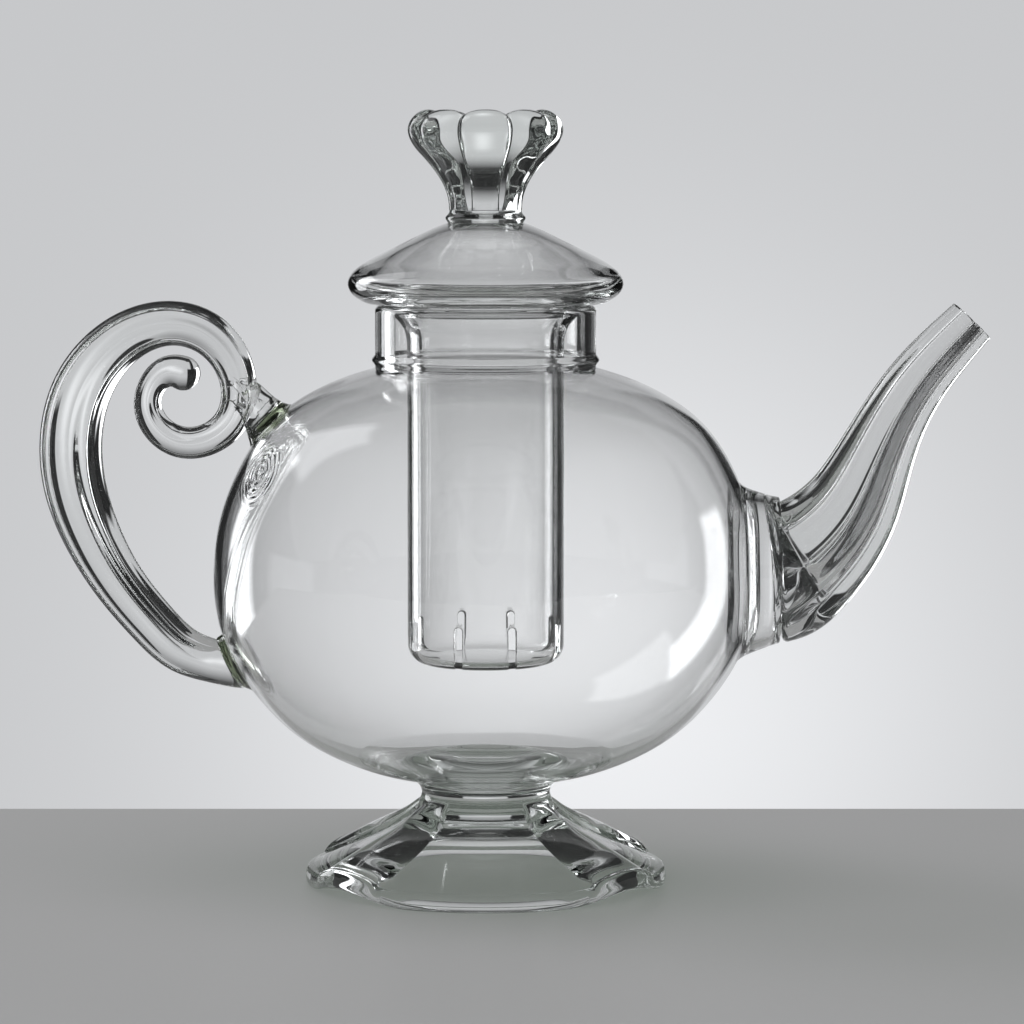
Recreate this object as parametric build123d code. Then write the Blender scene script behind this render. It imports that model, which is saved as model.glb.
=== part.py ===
from build123d import *
import os
from math import atan2, cos, degrees, pi, radians, sin

# Lampworked glass teapot: a footed, blown bowl with a fluted spout and a scrolled, fluted
# handle, a lift-out infuser that hangs in the neck, and a lift-off lid with a fluted knob.
# Units are millimetres. The origin is the centre of the foot's rest face, +Z is up along the
# pot's axis, +X points to the spout and -X to the handle.

# ---- driving dimensions ----------------------------------------------------------------
GLASS_WALL = 2.2            # blown wall of the bowl and the lid
JOIN_GAP = 0.1              # air gap under a piece that rests loosely on another
FLUTES = 8                  # lobes round the fluted knob, spout and handle stock

BOWL_RADIUS = 76.5
BOWL_WIDEST_Z = 88.0
BOWL_FLOOR_Z = 28.6         # underside of the bowl, on the stem

COLLAR_RADIUS = 31.0
COLLAR_WALL = 3.0
COLLAR_TOP_Z = 163.0
COLLAR_BEAD_RADIUS = 1.9    # section radius of the glass bead at the collar's root
COLLAR_BEAD_Z = 147.8
COLLAR_BEAD_SUNK = 1.0      # how far the bead's centre lies inside the collar's surface

STEM_RADIUS = 18.4
STEM_BOTTOM_Z = 24.4
FOOT_RADIUS = 51.0
FOOT_RING_INNER = 43.0      # inner radius of the flat rest ring
FOOT_RING_OUTER = 46.0
RIDGE_ANGLES = (38, 142, 218, 322)
RIM_LIFT = 2.5              # how far the foot's rim rises under each ridge, between the pads
LIFT_SWING = 22.5           # half the angle over which the rim is lifted

PAD_RADIUS = 21.5           # thick weld pad inside the bowl, over the stem
PAD_TOP_Z = 35.2
PAD_DIMPLE_RADIUS = 10.8

INFUSER_RADIUS = 22.0       # standard 44 mm tube
INFUSER_WALL = 1.8
INFUSER_BOTTOM_Z = 62.0
FLANGE_RADIUS = 29.4
FLANGE_THICK = 2.8
SLOT_WIDTH = 1.8
SLOT_OFFSET = 7.4           # slot centre from the axis, two slots in each quarter face
SLOT_TOP_Z = 74.5
SLOT_REACH = 5.0            # how far a slot runs in under the closed bottom

LID_RADIUS = 38.6
LID_WIDEST_Z = 169.3
LID_REST_Z = COLLAR_TOP_Z + JOIN_GAP + FLANGE_THICK + JOIN_GAP
GALLERY_RADIUS = 24.6
GALLERY_WALL = 2.2
GALLERY_BOTTOM_Z = 160.8
KNOB_BOTTOM_Z = 189.6
KNOB_TOP_Z = 217.8
KNOB_RADIUS = 21.7
KNOB_WELD_RADIUS = 11.0

WELD_DISC_THICK = 2.4       # coloured glass disc where a handle stub meets the bowl
STUB_RADIUS = 7.0


# ---- helpers ---------------------------------------------------------------------------
def turned(outline):
    """A solid of revolution from a closed outline drawn as (radius, height)."""
    return revolve(Plane.XZ * make_face(outline), Axis.Z)


def closed_spline(points):
    return Spline(*points, periodic=True)


def inward(curve, distance, count=14):
    """Points that follow a curve on its left side, where the curve runs up the outer wall."""
    points = []
    for step in range(count + 1):
        t = step / count
        along = curve % t
        points.append(curve @ t + Vector(-along.Y, along.X) * distance)
    return points


def lobed(radius, depth, turn=0.0, count=FLUTES):
    """A closed fluted outline: `count` rounded lobes with narrow grooves between them."""
    points = []
    steps = 4 * count
    for step in range(steps):
        angle = 2 * pi * step / steps
        groove = (0.5 - 0.5 * cos(count * angle)) ** 2
        r = radius - depth * groove
        points.append((r * cos(angle + turn), r * sin(angle + turn)))
    return make_face(closed_spline(points))


def section_plane(x, z, direction_deg):
    """A plane across a path in the XZ plane; local x stays level, across the pot."""
    angle = radians(direction_deg)
    normal = (cos(angle), 0, sin(angle))
    return Plane(origin=(x, 0, z), x_dir=(0, 1, 0), z_dir=normal)


def directions(path):
    """Heading in degrees at each station of a path, from its neighbours, without jumps."""
    headings = []
    for index in range(len(path)):
        before = path[max(index - 1, 0)]
        after = path[min(index + 1, len(path) - 1)]
        angle = degrees(atan2(after[1] - before[1], after[0] - before[0]))
        while headings and angle - headings[-1] > 180:
            angle -= 360
        while headings and angle - headings[-1] < -180:
            angle += 360
        headings.append(angle)
    return headings


def save(shape, name):
    export_step(shape, f"parts/{name}.step")


# ---- bowl, neck and base ---------------------------------------------------------------
def bowl_outline():
    """Outer wall of the bowl from the stem up to the neck, as (radius, height)."""
    return Spline(
        (STEM_RADIUS, BOWL_FLOOR_Z), (30, 31.2), (41, 35.6), (52.5, 42.0), (63, 51.8),
        (71, 63.6), (75.6, 76.2), (BOWL_RADIUS, BOWL_WIDEST_Z), (74.9, 102.6),
        (70, 116.2), (62, 128.8), (52.4, 136.6), (41.6, 142), (COLLAR_RADIUS - COLLAR_WALL, 146.3),
        tangents=((1, 0.08), (-1, 0.3)),
    )


def bowl_filled():
    wall = bowl_outline()
    top, floor = wall @ 1, wall @ 0
    edge = Polyline(top, (0, top.Y), (0, floor.Y), floor)
    return turned(wall + edge)


def bowl_hollow():
    wall = bowl_outline()
    inner = Spline(*inward(wall, GLASS_WALL))
    top, floor = inner @ 1, inner @ 0
    above = (top.X, top.Y + 8)
    edge = Polyline(top, above, (0, above[1]), (0, floor.Y), floor)
    return turned(inner + edge)


def collar_solid(filled):
    ring = Cylinder(COLLAR_RADIUS, 30, align=(Align.CENTER, Align.CENTER, Align.MAX))
    bore = Cylinder(COLLAR_RADIUS - COLLAR_WALL, 40, align=(Align.CENTER, Align.CENTER, Align.MAX))
    tube = Pos(0, 0, COLLAR_TOP_Z) * ring - Pos(0, 0, COLLAR_TOP_Z + 5) * bore
    rims = tube.edges().filter_by(GeomType.CIRCLE).group_by(Axis.Z)[-1]
    return fillet(rims, COLLAR_WALL * 0.35) - filled


def bead_solid(filled, collar):
    centre = (COLLAR_RADIUS - COLLAR_BEAD_SUNK, 0, COLLAR_BEAD_Z)
    section = Plane(origin=centre, x_dir=(1, 0, 0), z_dir=(0, -1, 0)) * Circle(COLLAR_BEAD_RADIUS)
    ring = revolve(section, Axis.Z)
    inner = Cylinder(COLLAR_RADIUS, 60)
    return ring - filled - Pos(0, 0, COLLAR_BEAD_Z) * inner


def stem_solid(filled):
    """Solid glass knot under the bowl, flared where it meets the bowl."""
    top = BOWL_FLOOR_Z + 1.6
    side = Spline(
        (STEM_RADIUS, STEM_BOTTOM_Z), (STEM_RADIUS + 0.3, 27.0), (STEM_RADIUS + 4.2, top),
        tangents=((0, 1), (1, 0.15)),
    )
    edge = Polyline((STEM_RADIUS + 4.2, top), (0, top), (0, STEM_BOTTOM_Z), (STEM_RADIUS, STEM_BOTTOM_Z))
    return turned(side + edge) - filled


def pad_solid(hollow):
    """Thick pad over the bowl's floor, with rounded edge and a shallow dimple on top."""
    low = BOWL_FLOOR_Z
    side = ThreePointArc((PAD_RADIUS, low), (PAD_RADIUS - 0.9, PAD_TOP_Z - 1.4), (PAD_RADIUS - 4, PAD_TOP_Z))
    top = Spline(
        (PAD_RADIUS - 4, PAD_TOP_Z), (PAD_DIMPLE_RADIUS, PAD_TOP_Z - 0.3), (0, PAD_TOP_Z - 1.6),
        tangents=((-1, 0), (-1, 0)),
    )
    edge = Polyline((0, PAD_TOP_Z - 1.6), (0, low), (PAD_RADIUS, low))
    return turned(side + top + edge) & hollow


# ---- foot ------------------------------------------------------------------------------
def foot_inside():
    """Underside of the bell, from the rest ring up to the axis."""
    return Spline(
        (FOOT_RING_INNER, 0), (41.6, 4.2), (34, 9.0), (24, 13.0), (12, 15.9), (0, 16.8),
        tangents=((-0.1, 1), (-1, 0)),
    )


def foot_bell():
    """Bell-shaped foot: solid neck, hollow underneath, standing on a flat ring."""
    outside = Spline(
        (STEM_RADIUS, STEM_BOTTOM_Z), (21.2, 19.8), (27, 15.9), (37, 11.2), (49, 5.9),
        tangents=((0.15, -1), (1, -0.42)),
    )
    rim = ThreePointArc((49, 5.9), (FOOT_RADIUS, 3.0), (49.2, 0))
    rest = Line((49.2, 0), (FOOT_RING_INNER, 0))
    inside = foot_inside()
    edge = Polyline(inside @ 1, (0, STEM_BOTTOM_Z), (STEM_RADIUS, STEM_BOTTOM_Z))
    return turned(outside + rim + rest + inside + edge)


def foot_ridge(angle_deg):
    """One of the rounded ridges that run from the neck down the bell to the rim."""
    stations = [(17.0, 22.6, 5.0, 3.0), (22, 19.0, 6.6, 3.8), (30, 14.2, 7.8, 4.2),
                (40, 8.9, 9.0, 3.8), (48.4, 5.0, 10.0, 2.8)]
    sections = []
    for radius, height, half_width, half_thick in stations:
        plane = Plane(origin=(radius, 0, height), x_dir=(0, 1, 0), z_dir=(1, 0, -0.45))
        sections.append(plane * Ellipse(half_width, half_thick))
    return Rot(0, 0, angle_deg) * loft(sections)


def rim_relief(angle_deg):
    """Tilted cylinder that lifts the foot's outer edge under a ridge."""
    half_chord = FOOT_RADIUS * sin(radians(LIFT_SWING))
    radius = (half_chord ** 2 + RIM_LIFT ** 2) / (2 * RIM_LIFT)
    slope = degrees(atan2(RIM_LIFT, FOOT_RADIUS - FOOT_RING_OUTER))
    roller = Rot(0, 90, 0) * Cylinder(radius, 60)
    tilted = Rot(0, -slope, 0) * (Pos(0, 0, -radius) * roller)
    return Rot(0, 0, angle_deg) * (Pos(FOOT_RING_OUTER, 0, 0) * tilted)


def foot_solid():
    foot = foot_bell()
    inside = foot_inside()
    under = turned(inside + Polyline(inside @ 1, (0, 0), inside @ 0))
    limit = Cylinder(FOOT_RADIUS, STEM_BOTTOM_Z, align=(Align.CENTER, Align.CENTER, Align.MIN))
    for angle in RIDGE_ANGLES:
        foot += (foot_ridge(angle) & limit) - under
    for angle in RIDGE_ANGLES:
        foot -= rim_relief(angle)
    return foot


# ---- spout -----------------------------------------------------------------------------
# Stations along the spout: x, z, outer radius. The first is where the fluted tube starts.
SPOUT_PATH = [
    (81.8, 88.5, 20.5), (89.5, 92.0, 18.4), (95.8, 97.4, 16.3), (102.5, 106.0, 14.1),
    (108.2, 117.6, 11.7), (113.2, 128.6, 10.0), (120.0, 140.2, 8.9), (127.6, 149.6, 8.1),
    (136.1, 158.6, 7.2),
]
SPOUT_FLUTE_DEPTH = 0.12    # of the radius
SOCKET_BORE = 16.0          # radius of the wide mouth where the bore leaves the socket
BORE_SHARE = 0.52           # the drawn tube is thick: its bore is about half its outer radius,
BORE_EXTRA = 0.85           # plus this much
ROOT_START_X = 60.0
ROOT_RADIUS = 25.0
ROOT_CENTRE_Z = 88.0


def spout_headings():
    headings = directions([(x, z) for x, z, _ in SPOUT_PATH])
    headings[0] = 8.0
    return headings


def spout_outside():
    sections = []
    for (x, z, radius), heading in zip(SPOUT_PATH, spout_headings()):
        fluted = lobed(radius, SPOUT_FLUTE_DEPTH * radius, pi / FLUTES)
        sections.append(section_plane(x, z, heading) * fluted)
    return loft(sections)


def spout_bore():
    sections = []
    for (x, z, radius), heading in zip(SPOUT_PATH, spout_headings()):
        bore = BORE_SHARE * radius + BORE_EXTRA if sections else SOCKET_BORE
        sections.append(section_plane(x, z, heading) * Circle(bore))
    return loft(sections)


def spout_solid():
    return spout_outside() - spout_bore()


def root_outline(radius_start, radius_end):
    x, z, _ = SPOUT_PATH[0]
    start = Plane(origin=(ROOT_START_X, 0, ROOT_CENTRE_Z), x_dir=(0, 1, 0), z_dir=(1, 0, 0))
    return loft([start * Circle(radius_start), section_plane(x, z, 8.0) * Circle(radius_end)])


def root_bore():
    return root_outline(ROOT_RADIUS - GLASS_WALL, SOCKET_BORE)


def root_solid(filled):
    """Plain clear socket between the bowl and the fluted spout."""
    outside = root_outline(ROOT_RADIUS, SPOUT_PATH[0][2])
    return outside - root_bore() - filled


# ---- handle ----------------------------------------------------------------------------
# Stations along the handle rod from its lower end, up round the C and into the scroll:
# x, z, radius.
HANDLE_PATH = [
    (-77.5, 62.6, 6.4), (-84.6, 65.4, 6.6), (-94.0, 73.6, 7.0), (-103.2, 85.0, 7.4),
    (-111.0, 99.0, 8.2), (-115.6, 113.2, 8.9), (-116.4, 126.4, 9.0), (-113.4, 138.8, 8.5),
    (-107.0, 148.8, 7.8), (-98.0, 155.6, 7.0), (-88.0, 158.0, 6.4), (-78.4, 155.4, 6.1),
    (-71.8, 148.6, 5.6), (-69.2, 139.4, 5.1), (-71.4, 130.8, 4.8), (-78.0, 125.4, 4.6),
    (-86.2, 124.8, 4.5), (-92.4, 129.0, 4.2), (-94.8, 135.6, 3.8), (-92.2, 141.6, 3.5),
    (-86.8, 144.2, 3.4),
]
FLUTE_END = 16              # station where the flutes have faded out of the scroll
SCROLL_TIP = (-83.6, 141.8, 4.0)


def handle_solid():
    headings = directions([(x, z) for x, z, _ in HANDLE_PATH])
    sections = []
    for index, ((x, z, radius), heading) in enumerate(zip(HANDLE_PATH, headings)):
        depth = 0.13 * radius * max(0.0, 1 - index / FLUTE_END)
        sections.append(section_plane(x, z, heading) * lobed(radius, depth, radians(22.5)))
    return loft(sections)


def tip_solid(handle):
    x, z, radius = SCROLL_TIP
    return Pos(x, 0, z) * Sphere(radius) - handle


# Each stub runs from the rod straight to the bowl's wall: start x, z and end x, z.
UPPER_STUB = (-69.0, 138.2, -58.0, 127.0)
LOWER_STUB = (-78.5, 62.7, -64.0, 62.0)


def stub_bar(ends, radius, start, length):
    """A round bar on a stub's line, from `start` millimetres along it."""
    x0, z0, x1, z1 = ends
    heading = degrees(atan2(z1 - z0, x1 - x0))
    plane = section_plane(x0, z0, heading)
    bar = Cylinder(radius, length, align=(Align.CENTER, Align.CENTER, Align.MIN))
    return plane * (Pos(0, 0, start) * bar)


def weld_layer(filled, thickness):
    """The bowl's outer surface grown by a thickness, to make discs that follow it."""
    wall = bowl_outline()
    grown = Spline(*inward(wall, -thickness))
    top, floor = grown @ 1, grown @ 0
    edge = Polyline(top, (0, top.Y), (0, floor.Y), floor)
    return turned(grown + edge)


def handle_joint(ends, filled, grown, handle, length):
    """The stub and its weld disc, as two separate solids."""
    bar = stub_bar(ends, STUB_RADIUS, 0, length)
    stub = bar - grown - handle
    disc = (stub_bar(ends, STUB_RADIUS + 0.8, 0, length) & grown) - filled - handle
    return largest(stub), largest(disc)


def largest(shape):
    return max(shape.solids(), key=lambda solid: solid.volume)


# ---- infuser ---------------------------------------------------------------------------
def infuser_outer():
    """Outer wall of the infuser from the axis, up the tube and out into its flared mouth."""
    corner = 4.0
    bottom = INFUSER_BOTTOM_Z
    reach = INFUSER_RADIUS
    return [
        Line((0, bottom), (reach - corner, bottom)),
        RadiusArc((reach - corner, bottom), (reach, bottom + corner), -corner),
        Line((reach, bottom + corner), (reach, 152)),
        Spline((reach, 152), (22.9, 156.5), (27.0, 161.4), tangents=((0, 1), (0.5, 1))),
    ]


def infuser_solid():
    inner = INFUSER_RADIUS - INFUSER_WALL
    floor = INFUSER_BOTTOM_Z + INFUSER_WALL
    low_corner = 2.4
    lip = [
        Line((27.0, 161.4), (25.3, 161.9)),
        Spline((25.3, 161.9), (21.2, 157.2), (inner, 152), tangents=((-0.5, -1), (0, -1))),
        Line((inner, 152), (inner, floor + low_corner)),
        RadiusArc((inner, floor + low_corner), (inner - low_corner, floor), low_corner),
        Line((inner - low_corner, floor), (0, floor)),
        Line((0, floor), (0, INFUSER_BOTTOM_Z)),
    ]
    tube = turned(Curve() + infuser_outer() + lip)
    return tube - slots()


def slots():
    """Two upright slots in each quarter face, cut through the wall and the bottom corner."""
    depth = SLOT_REACH + INFUSER_WALL
    height = SLOT_TOP_Z - INFUSER_BOTTOM_Z
    blade = Box(depth, SLOT_WIDTH, height, align=(Align.MAX, Align.CENTER, Align.MIN))
    end = Rot(0, 90, 0) * Cylinder(SLOT_WIDTH / 2, depth, align=(Align.CENTER, Align.CENTER, Align.MAX))
    cut = Pos(0, 0, -1) * blade + Pos(0, 0, height - 1) * end
    cutters = []
    for quarter in range(4):
        for side in (-SLOT_OFFSET, SLOT_OFFSET):
            place = Pos(INFUSER_RADIUS + 1, side, INFUSER_BOTTOM_Z)
            cutters.append(Rot(0, 0, 90 * quarter) * (place * cut))
    return Compound(children=cutters)


def flange_solid():
    """Thick flange round the infuser's mouth, resting on the collar's rim."""
    low = COLLAR_TOP_Z + JOIN_GAP
    high = low + FLANGE_THICK
    outline = Polyline(
        (27.0, 161.4), (27.0, low), (FLANGE_RADIUS - 0.5, low), (FLANGE_RADIUS, low + 0.6),
        (FLANGE_RADIUS, high - 0.8), (FLANGE_RADIUS - 0.8, high), (26.2, high), (25.3, high - 1.2),
        (25.3, 161.9), (27.0, 161.4),
    )
    return turned(outline)


# ---- lid -------------------------------------------------------------------------------
def dome_outline():
    """Outside of the lid's dome, from the axis down to its widest circle."""
    return Spline(
        (0, 187.6), (9, 186.6), (21, 181.5), (33, 175.4), (37.2, 172.2), (LID_RADIUS, LID_WIDEST_Z),
        tangents=((1, 0), (0, -1)),
    )


def dome_filled():
    outside = dome_outline()
    return turned(outside + Polyline(outside @ 1, (0, LID_WIDEST_Z), outside @ 0))


def dome_solid():
    outside = dome_outline()
    inside = Spline(*inward(outside, -GLASS_WALL), tangents=((1, 0), (0, -1)))
    top = Line(outside @ 0, inside @ 0)
    rim = Line(outside @ 1, inside @ 1)
    return turned(outside + top + inside + rim)


def rim_solid():
    """The lid's rolled rim, from its widest circle in under the edge."""
    inner_edge = 30.7
    roll = Spline(
        (LID_RADIUS, LID_WIDEST_Z), (37.9, 166.9), (35.2, 164.6), (32.3, 163.7), (inner_edge, 164.8),
        tangents=((0, -1), (-0.35, 1)),
    )
    upright = Line((inner_edge, 164.8), (inner_edge, 168.2))
    inside = Spline(
        (inner_edge, 168.2), (33.4, 167.4), (LID_RADIUS - GLASS_WALL, LID_WIDEST_Z),
        tangents=((1, -0.4), (0.3, 1)),
    )
    edge = Line((LID_RADIUS - GLASS_WALL, LID_WIDEST_Z), (LID_RADIUS, LID_WIDEST_Z))
    return turned(roll + upright + inside + edge)


def underside_solid():
    """Flat annular floor of the lid, which rests on the infuser's flange."""
    return turned(Polyline(
        (GALLERY_RADIUS, LID_REST_Z), (30.7, LID_REST_Z), (30.7, 168.2), (GALLERY_RADIUS, 168.6),
        (GALLERY_RADIUS, LID_REST_Z),
    ))


def gallery_solid():
    """Locating ring under the lid, which drops into the infuser's mouth."""
    inner = GALLERY_RADIUS - GALLERY_WALL
    return turned(Polyline(
        (inner + 0.7, GALLERY_BOTTOM_Z), (GALLERY_RADIUS - 0.7, GALLERY_BOTTOM_Z),
        (GALLERY_RADIUS, GALLERY_BOTTOM_Z + 0.7), (GALLERY_RADIUS, 168.6), (inner, 168.8),
        (inner, GALLERY_BOTTOM_Z + 0.7), (inner + 0.7, GALLERY_BOTTOM_Z),
    ))


def knob_solid():
    """Solid flower-shaped knob: fluted stalk that opens into eight petals round a dimple."""
    stations = [(KNOB_BOTTOM_Z, 10.2, 0.11), (192.4, 10.4, 0.12), (197.8, 12.4, 0.13),
                (203.4, 16.6, 0.13), (208.4, 20.6, 0.12), (212.4, KNOB_RADIUS, 0.11),
                (215.8, 19.6, 0.09), (KNOB_TOP_Z, 14.4, 0.06)]
    sections = []
    for height, radius, depth in stations:
        sections.append(Plane.XY.offset(height) * lobed(radius, depth * radius, radians(22.5)))
    petals = loft(sections)
    dimple = Pos(0, 0, KNOB_TOP_Z + 22.0) * Sphere(25.6)
    return petals - dimple


def knob_weld_solid(dome):
    """Bead of glass that joins the knob to the top of the dome."""
    side = ThreePointArc((10.2, KNOB_BOTTOM_Z), (KNOB_WELD_RADIUS, 187.4), (10.4, 185.0))
    edge = Polyline((10.4, 185.0), (0, 185.0), (0, KNOB_BOTTOM_Z), (10.2, KNOB_BOTTOM_Z))
    return turned(side + edge) - dome


# ---- the whole set ---------------------------------------------------------------------
def main():
    os.makedirs("parts", exist_ok=True)
    filled = bowl_filled()
    hollow = bowl_hollow()
    bowl = filled - hollow - root_bore()
    collar = collar_solid(filled)
    handle = handle_solid()
    grown = weld_layer(filled, WELD_DISC_THICK)
    upper_stub, upper_weld = handle_joint(UPPER_STUB, filled, grown, handle, 24)
    lower_stub, lower_weld = handle_joint(LOWER_STUB, filled, grown, handle, 18)
    dome = dome_filled()
    pieces = {
        "bowl": bowl,
        "bowl_base_pad": pad_solid(hollow),
        "neck_collar": collar,
        "collar_bead": bead_solid(filled, collar),
        "stem": stem_solid(filled),
        "foot": foot_solid(),
        "spout_root": root_solid(filled),
        "spout": spout_solid(),
        "handle_rod": handle,
        "handle_scroll_tip": tip_solid(handle),
        "handle_upper_stub": upper_stub,
        "handle_upper_weld": upper_weld,
        "handle_lower_stub": lower_stub,
        "handle_lower_weld": lower_weld,
        "infuser_tube": infuser_solid(),
        "infuser_flange": flange_solid(),
        "lid_dome": dome_solid(),
        "lid_rim": rim_solid(),
        "lid_underside": underside_solid(),
        "lid_gallery": gallery_solid(),
        "lid_knob": knob_solid(),
        "lid_knob_weld": knob_weld_solid(dome),
    }
    for name, shape in pieces.items():
        save(shape, name)
        print(name, round(shape.volume), len(shape.solids()))


main()
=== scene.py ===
"""A clear glass teapot with a glass infuser and lid, on a pale table in soft studio light."""
import math

import bmesh
import bpy
import numpy as np
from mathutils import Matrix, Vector


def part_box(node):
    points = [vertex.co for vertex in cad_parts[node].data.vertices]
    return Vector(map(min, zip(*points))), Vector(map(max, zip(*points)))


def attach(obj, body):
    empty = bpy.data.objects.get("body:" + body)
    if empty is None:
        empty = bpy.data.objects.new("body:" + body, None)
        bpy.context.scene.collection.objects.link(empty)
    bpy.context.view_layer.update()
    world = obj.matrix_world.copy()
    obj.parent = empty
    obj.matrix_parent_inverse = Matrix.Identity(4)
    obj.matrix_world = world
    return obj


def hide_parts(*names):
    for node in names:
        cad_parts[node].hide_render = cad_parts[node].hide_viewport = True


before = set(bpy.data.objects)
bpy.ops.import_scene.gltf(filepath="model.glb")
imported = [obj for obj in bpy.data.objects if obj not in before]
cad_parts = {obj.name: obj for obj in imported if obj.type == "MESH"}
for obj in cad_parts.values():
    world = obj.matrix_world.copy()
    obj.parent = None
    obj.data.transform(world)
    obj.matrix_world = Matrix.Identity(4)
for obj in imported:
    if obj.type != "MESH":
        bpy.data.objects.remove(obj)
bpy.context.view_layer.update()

MM = 0.001
SEGMENTS = 256              # columns round a turned piece
ROD_SEGMENTS = 208          # columns round the handle and the spout
BAR_SEGMENTS = 96           # columns round a stub or a weld disc
LOBES = 8
LAP = 0.12                  # how far fused pieces reach into each other, in millimetres
IOR = 1.47


def turned(node):
    """Radius, bottom and top of a node that is turned about the pot's axis, in millimetres."""
    low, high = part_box(node)
    return high.y / MM, low.z / MM, high.z / MM


# ---------------------------------------------------------------- curves and meshes

def smooth(points, start=None, end=None, step=0.8):
    """Points about step apart on the cubic spline through points; start and end are end directions."""
    points = np.array(points, float)
    spans = np.linalg.norm(np.diff(points[:, :2], axis=0), axis=1)
    count = len(points)
    system = np.zeros((count, count))
    known = np.zeros_like(points)
    for i in range(1, count - 1):
        before, after = spans[i - 1], spans[i]
        system[i, i - 1:i + 2] = after, 2 * (before + after), before
        known[i] = 3 * (after / before * (points[i] - points[i - 1])
                        + before / after * (points[i + 1] - points[i]))
    for row, other, span, heading in ((0, 1, spans[0], start), (-1, -2, spans[-1], end)):
        if heading is None:
            system[row, row], system[row, other] = 2, 1
            known[row] = 3 * (points[max(row, other)] - points[min(row, other)]) / span
        else:
            system[row, row] = 1
            known[row, :2] = np.array(heading[:2], float) / math.hypot(*heading[:2])
    slopes = np.linalg.solve(system, known)
    curve = [points[:1]]
    for i, span in enumerate(spans):
        t = np.linspace(0, 1, max(2, math.ceil(span / step)) + 1)[1:, None]
        curve.append((1 + 2 * t) * (1 - t) ** 2 * points[i] + t * (1 - t) ** 2 * span * slopes[i]
                     + t * t * (3 - 2 * t) * points[i + 1] - t * t * (1 - t) * span * slopes[i + 1])
    return np.concatenate(curve)


def offset(outline, distance):
    """The outline moved to the left of its own direction."""
    along = np.gradient(outline, axis=0)
    along /= np.linalg.norm(along, axis=1)[:, None]
    return outline + distance * np.stack([-along[:, 1], along[:, 0]], axis=1)


def circle(count):
    """Angles evenly round a circle."""
    return np.linspace(0, 2 * math.pi, count, endpoint=False)


def lengths(path):
    """Distance along a path to each of its points."""
    return np.append(0, np.cumsum(np.linalg.norm(np.diff(path[:, :2], axis=0), axis=1)))


def unit(vector):
    """The vector's direction, with length one."""
    vector = np.array(vector, float)
    return vector / np.linalg.norm(vector)


def level(radius, height, angles):
    """Points round the pot's axis, at one radius or one for each angle."""
    return np.stack([radius * np.cos(angles), radius * np.sin(angles), height + 0 * angles], axis=-1)


def square_ring(centre, direction, size):
    """A ring of points round a point of the pot's middle plane, square to a direction in that plane."""
    angles = circle(BAR_SEGMENTS)
    return np.stack([centre[0] - direction[1] * size * np.cos(angles), size * np.sin(angles),
                     centre[1] + direction[0] * size * np.cos(angles)], axis=-1)


def arc(centre, radius, first, last, count=8):
    """Points on an arc in the outline's plane; angles are in degrees from outwards towards up."""
    angles = np.radians(np.linspace(first, last, count))
    return np.stack([centre[0] + radius * np.cos(angles), centre[1] + radius * np.sin(angles)], axis=1)


def joined(*stretches):
    """One outline of several stretches, without the points that two of them share."""
    points = np.concatenate([np.array(s, float).reshape(-1, 2) for s in stretches])
    keep = np.append(True, np.linalg.norm(np.diff(points, axis=0), axis=1) > 1e-4)
    return points[keep]


def skin(name, rings, loop=False, sharp=40):
    """A closed mesh over rings in millimetres: a loop of rings, or a stack with both ends shut."""
    rings = np.array(rings, float) * MM
    count, around = rings.shape[:2]
    grid = np.arange(count * around).reshape(count, around)
    rows = grid if not loop else np.vstack([grid, grid[:1]])
    quads = np.stack([rows[:-1], np.roll(rows[:-1], -1, 1), np.roll(rows[1:], -1, 1), rows[1:]],
                     axis=-1)
    faces = quads.reshape(-1, 4).tolist()
    points = rings.reshape(-1, 3)
    if not loop:
        points = np.vstack([points, rings[0].mean(0), rings[-1].mean(0)])
        for ring, centre, order in ((grid[0], len(points) - 2, 1), (grid[-1], len(points) - 1, -1)):
            fan = np.stack([np.roll(ring, -1), ring, np.full(around, centre)], axis=1)
            faces += fan[:, ::order].tolist()
    mesh = bpy.data.meshes.new(name)
    mesh.from_pydata(points.tolist(), [], faces)
    piece = bpy.data.objects.new(name, mesh)
    bpy.context.scene.collection.objects.link(piece)
    tidy(piece, sharp)
    return piece


def tidy(piece, sharp):
    """Faces outwards and shades smooth, except over edges sharper than that many degrees."""
    work = bmesh.new()
    work.from_mesh(piece.data)
    bmesh.ops.remove_doubles(work, verts=work.verts, dist=1e-7)
    bmesh.ops.recalc_face_normals(work, faces=work.faces)
    work.to_mesh(piece.data)
    work.free()
    piece.data.shade_smooth()
    if sharp:
        piece.data.set_sharp_from_angle(angle=math.radians(sharp))


def turn(name, outline, sharp=40):
    """Turns an outline of (radius, height) about the pot's axis; it starts and ends on it, or is a loop."""
    outline = np.array(outline, float)
    loop = outline[0, 0] > 0
    if not loop:
        outline = outline[1:-1]
    angles = circle(SEGMENTS)
    rings = [level(radius, height, angles) for radius, height in outline]
    return skin(name, rings, loop, sharp)


def cut(piece, cutters, sharp=40):
    """Takes the cutters' volume out of the piece and deletes them."""
    for cutter in cutters:
        modifier = piece.modifiers.new("cut", "BOOLEAN")
        modifier.operation = "DIFFERENCE"
        modifier.solver = "EXACT"
        modifier.object = cutter
    evaluated = piece.evaluated_get(bpy.context.evaluated_depsgraph_get())
    piece.data = bpy.data.meshes.new_from_object(evaluated)
    piece.modifiers.clear()
    for cutter in cutters:
        bpy.data.objects.remove(cutter)
    tidy(piece, sharp)


def lobed(angles, depth, power=2.6):
    """Radius factor of a fluted section: lobes with grooves between them, narrower for a higher power."""
    across = (angles * LOBES / (2 * math.pi)) % 1 * 2 - 1
    return 1 - depth * np.abs(across) ** power


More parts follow.
